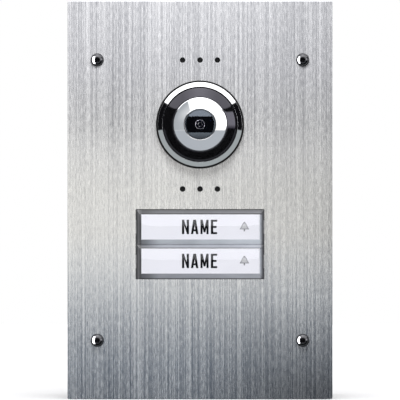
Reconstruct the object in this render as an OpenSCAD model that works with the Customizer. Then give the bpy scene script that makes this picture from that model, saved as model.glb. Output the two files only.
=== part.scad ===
// Flush-mounted video door intercom for two households.
// X runs to the viewer's right, Z up and Y into the wall. Y = 0 is the wall's surface.
// Modules that take y_front and y_back give depths along Y, so front faces have the lower value.

/* [Front plate] */
// Width of the stainless plate
plate_w = 120; // [116:1:140]
// Height of the stainless plate
plate_h = 180; // [176:1:220]
// Thickness of the stainless plate
plate_t = 2; // [1.5:0.5:3]
// Thickness of the foam seal between the plate and the wall
seal_t = 1.5; // [1:0.5:2]
// Distance between the left and right plate screws
screw_span_x = 93; // [92:0.5:94]
// Distance between the upper and lower plate screws
screw_span_z = 127; // [120:1:132]
// Diameter of one sound hole
sound_hole_d = 2.5; // [2:0.1:3]
// Distance between neighbouring sound holes
sound_pitch = 7.9; // [7:0.1:8.5]

/* [Camera eye] */
// Height of the camera's axis above the plate's middle
cam_z = 34.2; // [33.5:0.1:35]
// Distance of each row of sound holes from the camera's axis
sound_offset = 29.2; // [28.8:0.1:29.6]
// Radius of the rubber gasket round the eye
gasket_r = 19.95; // [19.8:0.05:21]
// Radius of the outer chrome ring
bezel_r = 19.1; // [18.8:0.1:19.6]
// Radius at which the black ring starts
black_ring_r = 17; // [16.9:0.05:17.2]
// Radius at which the inner chrome ring starts
lens_ring_r = 12.1; // [11.8:0.1:12.4]
// Radius of the dark window over the lens
window_r = 6.9; // [6.7:0.1:7.1]
// Radius of the sphere that the inner ring and the window share
dome_r = 38; // [34:1:46]
// How far the eye's highest point stands in front of the wall
eye_reach = 12.9; // [12.5:0.1:13.5]

/* [Name buttons] */
// Width of one button
cap_w = 57.8; // [56:0.2:58]
// Distance between the two buttons' middles
cap_pitch = 15.7; // [15.6:0.05:16.1]
// Gap between the two buttons
cap_gap = 0.14; // [0.1:0.02:0.3]
// Height of the middle of the pair above the plate's middle
buttons_z = -20; // [-21:0.5:-19]
// Width of the label's field
field_w = 54; // [50:0.5:54]
// Height of the label's field
field_h = 11.7; // [10:0.1:11.8]
// How far a button travels when it is pressed
press_travel = 1.2; // [0.8:0.1:1.2]

/* [Flush box] */
// Width of the box in the wall
box_w = 104; // [103:1:105]
// Height of the box in the wall
box_h = 160; // [159:1:162]
// Depth of the box in the wall
box_d = 45; // [42:1:60]
// Wall thickness of the box
box_t = 2; // [1.5:0.5:2]
// Distance between the left and right dowel holes in the box's back
dowel_span_x = 60; // [50:1:66]
// Distance between the upper and lower dowel holes in the box's back
dowel_span_z = 120; // [100:1:130]

/* [Hidden] */
$fn = 64;

// The smallest running clearance between neighbouring pieces
gap = 0.05;
// How far a cutting shape runs past the face that it cuts
over = 0.5;

// Depths of the plate's two faces
plate_back = -seal_t;
plate_front = plate_back - plate_t;

// The three sound holes of one row, and the heights of the two rows
sound_x = [-sound_pitch, 0, sound_pitch];
speaker_z = cam_z + sound_offset;
mic_z = cam_z - sound_offset;

// Plate screws: M3 button heads over thin sealing washers
screw_r = 1.5;
screw_head_r = 2.75;
screw_head_h = 1.6;
screw_socket_w = 2;
screw_length = 12.5;
washer_r = 2.95;
washer_t = 0.25;
screw_corners = [for (sx = [-1, 1], sz = [-1, 1]) [sx * screw_span_x / 2, sz * screw_span_z / 2]];

// Plastic chassis behind the plate, held by welded studs
chassis_w = 82;
chassis_h = 151;
chassis_t = 2;
chassis_front = plate_back + 1;
chassis_wall_back = chassis_front + chassis_t;
board_front = 15.5;
board_t = 1.6;
board_back = board_front + board_t;
cover_back = 27;
cover_t = 2;
stud_x = 36;
stud_z = [-69.5, 13, 69.5];
stud_back = 6;
post_x = 36;
post_z = [-50, 50];

// Camera tube that passes through the plate and takes the ring nut
cam_tube_r = 17.5;
cam_tube_back = 9;
cam_hole_r = cam_tube_r + 0.2;
gasket_t = 0.8;
gasket_front = plate_front - gasket_t;
led_board_front = -3.5;
led_board_back = -2.3;
cam_board_front = 7.6;
cam_board_back = 8.8;
nut_r = 20;
nut_back = chassis_wall_back + 3.4;

// Buttons
cap_h = cap_pitch - cap_gap;
cap_back = -1;
label_front = -3.3;
label_t = 0.3;
cutout_clearance = 0.22;
upper_z = buttons_z + cap_pitch / 2;
lower_z = buttons_z - cap_pitch / 2;
carrier_back = 0.6;
plunger_front = 3.4;
switch_front = 5;
tray_w = 64;
tray_h = 36;
tray_floor_front = 7;
tray_floor_back = 8.5;
spring_x = 20;
led_x = 11;
ear_x = 36.3;

// Trimmer on the main board
trimmer_x = -26;
trimmer_z = 20;

// ---- shared shapes ----

// Extrudes a drawing in X and Z between two depths
module slab(y_front, y_back)
    translate([0, y_back, 0])
        rotate([90, 0, 0])
            linear_extrude(y_back - y_front)
                children();

// A cylinder along Y
module rod(r, y_front, y_back, x = 0, z = 0)
    translate([x, y_back, z])
        rotate([90, 0, 0])
            cylinder(r = r, h = y_back - y_front);

// A block given by its middle in X and Z and its two depths
module block(w, h, y_front, y_back, x = 0, z = 0)
    translate([x - w / 2, y_front, z - h / 2])
        cube([w, y_back - y_front, h]);

// A solid of revolution about an axis along Y, from points of radius and depth
module turned(points, x = 0, z = 0)
    translate([x, 0, z])
        rotate([90, 0, 0])
            rotate_extrude()
                polygon([for (p = points) [p[0], -p[1]]]);

// A rectangle with round corners, centred
module rounded_rect(w, h, r) {
    square([w - 2 * r, h], center = true);
    square([w, h - 2 * r], center = true);
    for (sx = [-1, 1], sz = [-1, 1])
        translate([sx * (w / 2 - r), sz * (h / 2 - r)])
            circle(r);
}

// A long slot with round ends, centred
module racetrack(w, h) {
    square([w - h, h], center = true);
    for (sx = [-1, 1])
        translate([sx * (w - h) / 2, 0])
            circle(h / 2);
}

// Places its children at each [x, z] of a list
module at_each(places)
    for (p = places)
        translate([p[0], 0, p[1]])
            children();

// Depth of the camera's dome at a radius
function dome_y(r) = -eye_reach + dome_r - sqrt(dome_r * dome_r - r * r);

// Points of the dome from one radius to another
function dome_points(r_from, r_to, steps) =
    [for (i = [0:steps]) let (r = r_from + (r_to - r_from) * i / steps) [r, dome_y(r)]];

// A round wire swept along points that lie in one plane, whose normal is side
module wire(points, r, side, sides = 8) {
    last = len(points) - 1;
    function unit(v) = v / norm(v);
    function heading(i) = unit(points[min(i + 1, last)] - points[max(i - 1, 0)]);
    rings = [for (i = [0:last], k = [0:sides - 1])
        let (across = cross(side, heading(i)), a = 360 * k / sides)
            points[i] + r * (cos(a) * side + sin(a) * across)];
    walls = [for (i = [0:last - 1], k = [0:sides - 1])
        let (n = (k + 1) % sides)
            [i * sides + k, i * sides + n, (i + 1) * sides + n, (i + 1) * sides + k]];
    front_end = [[for (k = [0:sides - 1]) sides - 1 - k]];
    back_end = [[for (k = [0:sides - 1]) last * sides + k]];
    polyhedron(rings, concat(walls, front_end, back_end));
}

// A compression spring between two depths, its wire swept round an axis along Y
module coil_spring(y_front, y_back, coil_r = 1.8, wire_r = 0.25, turns = 5) {
    sides = 6;
    steps = 14;
    last = turns * steps;
    pitch = (y_back - y_front - 2 * wire_r) / turns;
    rings = [for (i = [0:last], k = [0:sides - 1])
        let (a = 360 * i / steps, b = 360 * k / sides, r = coil_r + wire_r * cos(b))
            [r * cos(a), y_front + wire_r + pitch * i / steps + wire_r * sin(b), r * sin(a)]];
    walls = [for (i = [0:last - 1], k = [0:sides - 1])
        let (n = (k + 1) % sides)
            [i * sides + k, (i + 1) * sides + k, (i + 1) * sides + n, i * sides + n]];
    front_end = [[for (k = [0:sides - 1]) k]];
    back_end = [[for (k = [0:sides - 1]) last * sides + sides - 1 - k]];
    polyhedron(rings, concat(walls, front_end, back_end));
}

// ---- front plate and what holds it ----

module front_plate()
    color([0.72, 0.72, 0.72])
        difference() {
            slab(plate_front, plate_back)
                rounded_rect(plate_w, plate_h, 0.6);
            rod(cam_hole_r, plate_front - over, plate_back + over, z = cam_z);
            for (x = sound_x, z = [speaker_z, mic_z])
                rod(sound_hole_d / 2, plate_front - over, plate_back + over, x, z);
            at_each(screw_corners)
                rod(screw_r + 0.2, plate_front - over, plate_back + over);
            translate([0, 0, buttons_z])
                slab(plate_front - over, plate_back + over)
                    rounded_rect(cap_w + 2 * cutout_clearance,
                                 2 * cap_pitch - cap_gap + 2 * cutout_clearance, 0.4);
        }

// Foam ring that presses on the wall round the box
module wall_seal()
    color([0.12, 0.12, 0.13])
        slab(plate_back, 0)
            difference() {
                rounded_rect(plate_w - 2, plate_h - 2, 1);
                rounded_rect(box_w + 2, box_h + 2, 2);
            }

module weld_studs()
    color([0.6, 0.6, 0.6])
        for (x = [-stud_x, stud_x], z = stud_z) {
            rod(screw_r, plate_back, stud_back, x, z);
            rod(2, plate_back, plate_back + 0.6, x, z);
        }

module stud_nuts()
    color([0.75, 0.76, 0.78])
        for (x = [-stud_x, stud_x], z = stud_z)
            translate([x, chassis_wall_back + 2.4, z])
                rotate([90, 0, 0])
                    difference() {
                        cylinder(r = 3.1, h = 2.4, $fn = 6);
                        translate([0, 0, -over])
                            cylinder(r = screw_r + gap, h = 2.4 + 2 * over);
                    }

// Button head from the rim inwards, as radius and depth in front of the washer
function head_profile(base) = concat(
    [[0, base], [screw_head_r, base]],
    [for (a = [0:9:63]) [screw_head_r * cos(a), base - 0.15 - (screw_head_h - 0.15) * sin(a) / sin(63)]],
    [[0, base - screw_head_h]]
);

module plate_screw() {
    head_base = plate_front - washer_t;
    difference() {
        turned(head_profile(head_base));
        translate([0, head_base - 0.5, 0])
            rotate([90, 0, 0])
                cylinder(r = screw_socket_w / sqrt(3), h = screw_head_h, $fn = 6);
    }
    turned([[0, head_base], [screw_r, head_base], [screw_r, head_base + screw_length - 0.6],
            [screw_r - 0.5, head_base + screw_length], [0, head_base + screw_length]]);
}

module plate_screws()
    color([0.8, 0.8, 0.82])
        at_each(screw_corners)
            plate_screw();

module screw_washers()
    color([0.05, 0.05, 0.05])
        at_each(screw_corners)
            difference() {
                rod(washer_r, plate_front - washer_t, plate_front);
                rod(screw_r + gap, plate_front - washer_t - over, plate_front + over);
            }

// ---- box in the wall ----

knockout_r = 10;
entry_x = 0;
entry_z = -30;
entry_r = 8;
dowel_r = 2.25;
boss_r = 4;
boss_back = 20;
insert_r = 2.4;
insert_back = 8.3;

// Ring groove that leaves a thin disc to break out, drawn about an axis along +Z from its mouth
module knockout_groove()
    translate([0, 0, -over])
        difference() {
            cylinder(r = knockout_r, h = box_t / 2 + over);
            translate([0, 0, -over])
                cylinder(r = knockout_r - 1, h = box_t + 2 * over);
        }

module flush_box()
    color([0.16, 0.16, 0.17])
        difference() {
            union() {
                difference() {
                    slab(0, box_d)
                        rounded_rect(box_w, box_h, 3);
                    slab(-over, box_d - box_t)
                        rounded_rect(box_w - 2 * box_t, box_h - 2 * box_t, 1.5);
                }
                for (p = screw_corners) {
                    rod(boss_r, 0.3, boss_back, p[0], p[1]);
                    block(4, 2 * boss_r, 0.3, boss_back, sign(p[0]) * (box_w / 2 - 2.5), p[1]);
                }
                // plaster keys on both sides
                for (sx = [-1, 1], z = [-36, 36])
                    block(7, 12, 24, 27, sx * (box_w / 2 + 2), z);
                // stiffening ribs across the back, inside
                for (z = [-68, 8, 68])
                    block(box_w - 3, 1.6, box_d - box_t - 4, box_d - box_t + 0.5, 0, z);
            }
            at_each(screw_corners)
                rod(insert_r, 0, insert_back);
            at_each(screw_corners)
                rod(screw_r + 0.1, 0, boss_back - 2);
            rod(entry_r, box_d - box_t - over, box_d + over, entry_x, entry_z);
            for (x = [-dowel_span_x / 2, dowel_span_x / 2], z = [-dowel_span_z / 2, dowel_span_z / 2])
                rod(dowel_r, box_d - box_t - over, box_d + over, x, z);
            for (x = [-26, 26], s = [-1, 1])
                translate([x, box_d / 2 + 2, s * box_h / 2])
                    rotate([s > 0 ? 180 : 0, 0, 0])
                        knockout_groove();
        }

module boss_inserts()
    color([0.78, 0.62, 0.3])
        at_each(screw_corners)
            difference() {
                rod(insert_r, 0.3, insert_back);
                rod(screw_r + gap, -over, insert_back + over);
            }

grommet_bore_r = 3.5;

module cable_grommet()
    color([0.07, 0.07, 0.07])
        turned([[grommet_bore_r, box_d - 6], [entry_r - 1, box_d - 6], [entry_r + 1.6, box_d - box_t - 1.6],
                [entry_r + 1.6, box_d - box_t], [entry_r, box_d - box_t], [entry_r, box_d],
                [grommet_bore_r, box_d]], entry_x, entry_z);

// ---- camera eye ----

bezel_edge = gasket_front - 1.9;
bezel_peak = gasket_front - 3.9;
ledge = -5;
lens_ring_edge = dome_y(lens_ring_r);

module camera_gasket()
    color([0.04, 0.04, 0.04])
        turned([[cam_hole_r, plate_front], [gasket_r, plate_front], [gasket_r, gasket_front + 0.2],
                [gasket_r - 0.2, gasket_front], [cam_hole_r, gasket_front]], 0, cam_z);

module camera_bezel()
    color([0.85, 0.85, 0.87])
        turned([[16, cam_tube_back], [cam_tube_r, cam_tube_back], [cam_tube_r, gasket_front],
                [bezel_r, gasket_front], [bezel_r, bezel_edge], [bezel_r - 0.15, bezel_edge - 0.25],
                [black_ring_r + 0.3, bezel_peak + 0.1], [black_ring_r, bezel_peak],
                [black_ring_r, ledge], [16, ledge]], 0, cam_z);

module ir_cover_ring()
    color([0.03, 0.03, 0.03])
        turned([[black_ring_r - gap, ledge - gap], [black_ring_r - gap, bezel_peak + 0.25],
                [(black_ring_r + lens_ring_r) / 2, (bezel_peak + lens_ring_edge) / 2 - 0.15],
                [lens_ring_r + gap, lens_ring_edge + 0.25], [lens_ring_r + gap, lens_ring_edge + 2],
                [14.9, bezel_peak + 1], [15.6, bezel_peak + 2], [15.6, ledge - gap]], 0, cam_z);

module lens_bezel()
    color([0.85, 0.85, 0.87])
        turned(concat(dome_points(lens_ring_r, window_r, 8),
                      [[window_r, -11.05], [7.8, -11.05], [7.8, led_board_front - gap],
                       [9.3, led_board_front - gap], [9.3, lens_ring_edge + 1.5],
                       [lens_ring_r, lens_ring_edge + 1.5]]), 0, cam_z);

module camera_window()
    color([0.05, 0.06, 0.09, 0.8])
        turned(concat([[0, -9.6], [7.75, -9.6], [7.75, -11]], [[window_r - gap, -11]],
                      dome_points(window_r - gap, 0, 6)), 0, cam_z);

lens_front = -9.2;
lens_glass_r = 2.2;

module lens_barrel()
    color([0.06, 0.06, 0.06])
        turned([[lens_glass_r, lens_front + 3], [lens_glass_r, lens_front + 1.2], [2.6, lens_front + 1],
                [2.6, lens_front + 0.5], [5.6, lens_front + 0.2], [5.6, lens_front], [6.6, lens_front],
                [6.6, lens_front + 3.4], [6, lens_front + 3.8], [6, 4.6], [4, 4.6], [4, lens_front + 3]],
               0, cam_z);

module lens_glass()
    color([0.3, 0.32, 0.45, 0.6])
        turned([[0, lens_front + 2.8], [lens_glass_r - gap, lens_front + 2.8],
                [lens_glass_r - gap, lens_front + 1], [1.5, lens_front + 0.65],
                [0.8, lens_front + 0.45], [0, lens_front + 0.38]], 0, cam_z);

module lens_holder()
    color([0.05, 0.05, 0.05])
        difference() {
            union() {
                block(15, 15, 4.7, cam_board_front, 0, cam_z);
                rod(7.2, -2, 4.8, 0, cam_z);
            }
            rod(6 + gap, -2 - over, 4.8, 0, cam_z);
            block(9, 9, 4.6, cam_board_front + over, 0, cam_z);
        }

module image_sensor()
    color([0.1, 0.1, 0.14])
        block(7.6, 7.6, cam_board_front - 0.9, cam_board_front, 0, cam_z);

board_screw_x = 11;

module camera_board()
    color([0.05, 0.25, 0.12])
        difference() {
            rod(14.5, cam_board_front, cam_board_back, 0, cam_z);
            for (x = [-board_screw_x, board_screw_x])
                rod(0.9, cam_board_front - over, cam_board_back + over, x, cam_z);
        }

module camera_board_screws()
    color([0.7, 0.7, 0.7])
        for (x = [-board_screw_x, board_screw_x]) {
            rod(1.6, cam_board_front - 1, cam_board_front, x, cam_z);
            rod(0.75, cam_board_front, 11.4, x, cam_z);
        }

led_ring_r = 12.4;
led_count = 8;

module ir_led_board()
    color([0.05, 0.25, 0.12])
        turned([[7, led_board_front], [15.6, led_board_front], [15.6, led_board_back],
                [7, led_board_back]], 0, cam_z);

module ir_leds()
    color([0.35, 0.3, 0.4])
        for (i = [0:led_count - 1])
            let (a = 360 * (i + 0.5) / led_count)
                turned([[0, led_board_front], [1.7, led_board_front], [1.7, led_board_front - 0.5],
                        [1.5, led_board_front - 0.5], [1.5, led_board_front - 2.3],
                        [1.3, led_board_front - 3], [0.8, led_board_front - 3.5],
                        [0, led_board_front - 3.7]],
                       led_ring_r * cos(a), cam_z + led_ring_r * sin(a));

// Ring nut with six notches for a pin spanner
module camera_nut()
    color([0.7, 0.7, 0.72])
        difference() {
            rod(nut_r, chassis_wall_back, nut_back, 0, cam_z);
            rod(cam_tube_r + gap, chassis_wall_back - over, nut_back + over, 0, cam_z);
            for (i = [0:5])
                translate([0, 0, cam_z])
                    rotate([0, 60 * i + 30, 0])
                        block(3, 3, chassis_wall_back + 1.2, nut_back + over, nut_r, 0);
        }

// Cup that closes the camera's tube from behind and carries its boards
module camera_housing()
    color([0.08, 0.08, 0.08])
        difference() {
            union() {
                turned([[14.7, led_board_back], [15.9, led_board_back], [15.9, cam_tube_back + gap],
                        [cam_tube_r - 0.1, cam_tube_back + gap], [cam_tube_r - 0.1, 10.5], [15.9, 10.5],
                        [15.9, 13], [0, 13], [0, 11.8], [13.5, 11.8], [13.5, cam_board_back + gap],
                        [14.7, cam_board_back + gap]], 0, cam_z);
                for (x = [-board_screw_x, board_screw_x])
                    rod(2, cam_board_back + gap, 12, x, cam_z);
            }
            for (x = [-board_screw_x, board_screw_x])
                rod(0.8, cam_board_back - over, 11.6, x, cam_z);
            block(11, 2.4, 11, 13 + over, 0, cam_z - 9);
        }

// Flat flexible cable from the camera's board to the main board
module camera_flex() {
    flex_w = 9;
    flex_t = 0.3;
    color([0.85, 0.75, 0.5])
        translate([-flex_w / 2, 0, cam_z - 9])
            rotate([90, 0, 90])
                linear_extrude(flex_w)
                    polygon([[cam_board_back, 0], [13.4, 0], [14.6, -1.2], [14.6, -12],
                             [board_front, -12], [board_front, -12 - 1.5], [14.6 - flex_t, -12 - 1.5],
                             [14.6 - flex_t, -1.2], [13.4 - flex_t / 2, -flex_t],
                             [cam_board_back, -flex_t]]);
}

// ---- chassis ----

speaker_w = 34;
speaker_h = 14;
mic_boot_w = 23;
mic_boot_h = 8;

module pocket_rib(w, h, z, y_back)
    translate([0, 0, z])
        slab(chassis_wall_back - 0.2, y_back)
            difference() {
                racetrack(w + 2.3, h + 2.3);
                racetrack(w + 0.3, h + 0.3);
            }

module chassis()
    color([0.09, 0.09, 0.1])
        difference() {
            union() {
                slab(chassis_front, chassis_wall_back)
                    rounded_rect(chassis_w, chassis_h, 3);
                slab(chassis_wall_back - 0.2, board_back)
                    difference() {
                        rounded_rect(chassis_w, chassis_h, 3);
                        rounded_rect(chassis_w - 2 * chassis_t, chassis_h - 2 * chassis_t, 1);
                    }
                pocket_rib(speaker_w, speaker_h, speaker_z, 5.5);
                pocket_rib(mic_boot_w, mic_boot_h, mic_z, 5.5);
                for (x = [-post_x, post_x], z = post_z)
                    rod(2.9, chassis_wall_back - 0.2, board_front, x, z);
                for (x = [-ear_x, ear_x])
                    rod(2.4, chassis_wall_back - 0.2, 6, x, buttons_z);
            }
            rod(cam_hole_r, chassis_front - over, chassis_wall_back + over, 0, cam_z);
            for (x = sound_x, z = [speaker_z, mic_z])
                rod(sound_hole_d / 2, chassis_front - over, chassis_wall_back + over, x, z);
            block(tray_w + 0.4, tray_h + 0.4, chassis_front - over, chassis_wall_back + over, 0, buttons_z);
            for (x = [-stud_x, stud_x], z = stud_z)
                rod(2.1, chassis_front - over, chassis_wall_back + over, x, z);
            for (x = [-post_x, post_x], z = post_z)
                rod(1.2, 5, board_front + over, x, z);
            for (x = [-ear_x, ear_x])
                rod(0.95, chassis_wall_back, 6 + over, x, buttons_z);
        }

module chassis_seal()
    color([0.15, 0.15, 0.16])
        slab(plate_back, chassis_front)
            difference() {
                rounded_rect(chassis_w, chassis_h, 3);
                rounded_rect(chassis_w - 5, chassis_h - 5, 1);
            }

// ---- sound ----

module speaker_membrane()
    color([0.2, 0.2, 0.2])
        translate([0, 0, speaker_z])
            slab(plate_back, plate_back + 0.6)
                racetrack(26, 7);

module speaker_frame()
    color([0.2, 0.2, 0.22])
        translate([0, 0, speaker_z]) {
            slab(chassis_wall_back, chassis_wall_back + 1)
                difference() {
                    racetrack(speaker_w, speaker_h);
                    racetrack(speaker_w - 4, speaker_h - 4);
                }
            slab(chassis_wall_back + 1, chassis_wall_back + 3)
                difference() {
                    racetrack(speaker_w - 1, speaker_h - 1);
                    racetrack(speaker_w - 4, speaker_h - 4);
                }
            slab(chassis_wall_back + 3, chassis_wall_back + 4)
                difference() {
                    racetrack(speaker_w - 1, speaker_h - 1);
                    racetrack(20.4, 7.4);
                }
        }

module speaker_cone()
    color([0.3, 0.3, 0.3])
        translate([0, 0, speaker_z]) {
            slab(chassis_wall_back + 1.1, chassis_wall_back + 1.5)
                racetrack(speaker_w - 4.2, speaker_h - 4.2);
            slab(chassis_wall_back + 0.7, chassis_wall_back + 1.1)
                racetrack(18, 6);
        }

module speaker_magnet()
    color([0.6, 0.6, 0.62])
        translate([0, 0, speaker_z])
            slab(chassis_wall_back + 2.2, chassis_wall_back + 6)
                racetrack(20, 7);

module mic_membrane()
    color([0.2, 0.2, 0.2])
        translate([0, 0, mic_z])
            slab(plate_back, plate_back + 0.6)
                racetrack(24, 5);

module mic_boot()
    color([0.1, 0.1, 0.1])
        translate([0, 0, mic_z])
            difference() {
                slab(chassis_wall_back, chassis_wall_back + 5)
                    racetrack(mic_boot_w, mic_boot_h);
                slab(chassis_wall_back - over, chassis_wall_back + 1)
                    racetrack(20, 3);
                rod(3 + gap, chassis_wall_back + 0.9, chassis_wall_back + 5 + over);
            }

module microphone()
    color([0.75, 0.75, 0.77])
        translate([0, 0, mic_z]) {
            rod(3, chassis_wall_back + 1.8, chassis_wall_back + 4.5);
            for (x = [-1.2, 1.2])
                rod(0.3, chassis_wall_back + 4.5, chassis_wall_back + 5.2, x);
        }

// Two leads from the speaker and two from the microphone to the main board
module audio_leads()
    color([0.7, 0.1, 0.1]) {
        for (x = [-1.4, 1.4])
            wire([for (p = [[7.5, 63.4], [8.6, 63.4], [9.8, 63.1], [11, 62.3], [12.2, 61.1], [13.4, 60.3],
                            [14.4, 60], [15.5, 60]])
                  [x * 2, p[0], p[1] + speaker_z - 63.4]], 0.5, [1, 0, 0]);
        for (x = [-1.2, 1.2])
            wire([for (p = [[6.7, 5], [8, 5], [9.4, 4.6], [10.8, 3.6], [12, 2.4], [13.2, 1.4], [14.4, 1],
                            [15.5, 1]])
                  [x, p[0], p[1] + mic_z - 5]], 0.5, [1, 0, 0]);
    }

// ---- name buttons ----

// Clear cover with a low ridge across its middle and bevelled edges, hollow behind
module cap() {
    edge_front = plate_front - 0.6;
    field_front = plate_front - 1.8;
    ridge_front = field_front - 0.7;
    low_field_front = ridge_front + 0.36;
    difference() {
        intersection() {
            block(cap_w, cap_h, field_front - 1, cap_back);
            // bevels along the top and the bottom, and the ridge between them
            rotate([90, 0, 90])
                translate([0, 0, -cap_w])
                    linear_extrude(2 * cap_w)
                        polygon([[cap_back, -cap_h / 2], [edge_front, -cap_h / 2],
                                 [low_field_front, -field_h / 2], [ridge_front, 0],
                                 [field_front, field_h / 2], [edge_front, cap_h / 2],
                                 [cap_back, cap_h / 2]]);
            // bevels at the left and right ends
            translate([0, 0, -cap_h])
                linear_extrude(2 * cap_h)
                    polygon([[-cap_w / 2, cap_back], [-cap_w / 2, edge_front],
                             [-field_w / 2 - 0.3, field_front], [-field_w / 2 + 1, ridge_front - 0.3],
                             [field_w / 2 - 1, ridge_front - 0.3], [field_w / 2 + 0.3, field_front],
                             [cap_w / 2, edge_front], [cap_w / 2, cap_back]]);
        }
        block(field_w + 0.4, field_h + 0.4, label_front, cap_back + over);
    }
}

module label()
    block(field_w, field_h, label_front, label_front + label_t);

// Translucent slide that carries the cap and the label, snapped into the tray
module carrier() {
    block(field_w, field_h, label_front + label_t, cap_back + 0.2);
    block(57.2, 14.6, cap_back, carrier_back);
    rod(2, carrier_back - 0.2, plunger_front);
    for (s = [-1, 1]) {
        rod(1.2, carrier_back - 0.2, carrier_back + 1.6, s * spring_x);
        block(1.2, 6, cap_back + 0.4, 5.5, s * 28.8);
        block(1.6, 6, 4.1, 5.5, s * 29.9);
    }
}

module plunger() {
    rod(1.75, plunger_front, switch_front + 1);
}

module button_springs()
    for (s = [-1, 1])
        translate([s * spring_x, 0, 0])
            coil_spring(carrier_back, tray_floor_front);

module button_tray() {
    inner_w = 60.4;
    inner_h = 32.8;
    color([0.1, 0.1, 0.11])
        translate([0, 0, buttons_z])
            difference() {
                union() {
                    block(tray_w, tray_h, plate_back, tray_floor_back);
                    for (s = [-1, 1])
                        block(9, 7, 6, 8, s * 34.5);
                }
                for (s = [-1, 1])
                    block(inner_w, inner_h / 2 - 0.4, plate_back - over, tray_floor_front,
                          0, s * (inner_h / 4 + 0.2));
                // the rib between the bays stops short of the caps
                block(inner_w, 2, plate_back - over, 0.6);
                for (z = [-cap_pitch / 2, cap_pitch / 2]) {
                    block(6.6, 6.6, tray_floor_front - over, tray_floor_back + over, 0, z);
                    for (x = [-led_x, led_x])
                        block(4.2, 3.6, tray_floor_front - over, tray_floor_back + over, x, z);
                    for (s = [-1, 1])
                        block(4, 7, 4, tray_floor_front, s * 31, z);
                }
                for (s = [-1, 1])
                    rod(1.25, 6 - over, 8 + over, s * ear_x);
            }
}

module tray_screws()
    color([0.7, 0.7, 0.7])
        for (x = [-ear_x, ear_x]) {
            rod(2, 8, 9.3, x, buttons_z);
            rod(0.9, 2.5, 8, x, buttons_z);
        }

module switch_board()
    color([0.05, 0.25, 0.12])
        block(58, 30, tray_floor_back, tray_floor_back + 1.2, 0, buttons_z);

module switch_bodies()
    color([0.2, 0.2, 0.2])
        for (z = [upper_z, lower_z])
            difference() {
                block(6.2, 6.2, switch_front, tray_floor_back, 0, z);
                rod(1.75 + gap, switch_front - over, switch_front + 2.6, 0, z);
            }

module label_leds()
    color([0.95, 0.93, 0.7])
        for (x = [-led_x, led_x], z = [upper_z, lower_z])
            block(3.5, 2.8, tray_floor_back - 1.9, tray_floor_back, x, z);

module upper_cap() color([0.9, 0.93, 0.95, 0.4]) translate([0, 0, upper_z]) cap();
module lower_cap() color([0.9, 0.93, 0.95, 0.4]) translate([0, 0, lower_z]) cap();
module upper_label() color([0.97, 0.97, 0.98]) translate([0, 0, upper_z]) label();
module lower_label() color([0.97, 0.97, 0.98]) translate([0, 0, lower_z]) label();
module upper_carrier() color([0.92, 0.92, 0.92]) translate([0, 0, upper_z]) carrier();
module lower_carrier() color([0.92, 0.92, 0.92]) translate([0, 0, lower_z]) carrier();
module upper_plunger() color([0.3, 0.2, 0.15]) translate([0, 0, upper_z]) plunger();
module lower_plunger() color([0.3, 0.2, 0.15]) translate([0, 0, lower_z]) plunger();
module upper_springs() color([0.7, 0.7, 0.72]) translate([0, 0, upper_z]) button_springs();
module lower_springs() color([0.7, 0.7, 0.72]) translate([0, 0, lower_z]) button_springs();

// ---- electronics and rear cover ----

terminal_z = -60;
terminal_ways = 6;
terminal_pitch = 5.08;
terminal_back = 32;
way_x = [for (i = [0:terminal_ways - 1]) (i - (terminal_ways - 1) / 2) * terminal_pitch];
capacitor_places = [[24, 32], [24, 20], [-12, 62]];
cap_radius = 4;

module main_board()
    color([0.05, 0.25, 0.12])
        difference() {
            block(chassis_w - 2 * chassis_t - 0.4, chassis_h - 2 * chassis_t - 0.4, board_front, board_back);
            for (x = [-post_x, post_x], z = post_z)
                rod(1.4, board_front - over, board_back + over, x, z);
        }

// Square chips with rows of legs, and the small parts round them
module board_chips()
    color([0.08, 0.08, 0.09]) {
        for (c = [[0, 22, 12, 12], [4, -8, 10, 6], [-20, -10, 7, 7], [20, -28, 9, 6]]) {
            block(c[2], c[3], board_back, board_back + 1.5, c[0], c[1]);
            for (s = [-1, 1], i = [-3:3])
                block(0.4, 1, board_back, board_back + 0.5, c[0] + i * c[2] / 8, c[1] + s * (c[3] / 2 + 0.4));
        }
        for (i = [0:5])
            block(2, 1.2, board_back, board_back + 0.6, -18 + i * 4, 4);
    }

module board_capacitors()
    color([0.15, 0.17, 0.25])
        for (p = capacitor_places)
            turned([[0, board_back], [cap_radius, board_back], [cap_radius, board_back + 1],
                    [cap_radius - 0.25, board_back + 1.3], [cap_radius, board_back + 1.6],
                    [cap_radius, 23.4], [cap_radius - 0.4, 23.8], [0, 23.8]], p[0], p[1]);

module door_relay()
    color([0.85, 0.5, 0.12])
        difference() {
            block(20, 10, board_back, 24.4, -16, -36);
            block(16, 0.6, 24, 24.4 + over, -16, -36);
        }

module terminal_block()
    color([0.1, 0.4, 0.2])
        difference() {
            block(terminal_ways * terminal_pitch, 10, board_back, terminal_back, 0, terminal_z);
            for (x = way_x) {
                rod(1.9, terminal_back - 2.4, terminal_back + over, x, terminal_z + 1.5);
                block(3.4, 6, terminal_back - 4, terminal_back - 0.8, x, terminal_z - 5);
            }
        }

module terminal_screws()
    color([0.8, 0.8, 0.8])
        for (x = way_x)
            difference() {
                rod(1.7, terminal_back - 2.4, terminal_back - 0.9, x, terminal_z + 1.5);
                block(0.6, 4, terminal_back - 1.5, terminal_back, x, terminal_z + 1.5);
            }

module trimmer_body()
    color([0.15, 0.3, 0.6])
        difference() {
            block(9.6, 9.6, board_back, 22.1, trimmer_x, trimmer_z);
            rod(2.6 + gap, 20.4, 22.1 + over, trimmer_x, trimmer_z);
        }

module trimmer_rotor()
    color([0.9, 0.9, 0.85])
        difference() {
            rod(2.6, 20.5, 23.2, trimmer_x, trimmer_z);
            block(0.9, 6, 22.2, 23.2 + over, trimmer_x, trimmer_z);
            block(6, 0.9, 22.2, 23.2 + over, trimmer_x, trimmer_z);
        }

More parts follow.
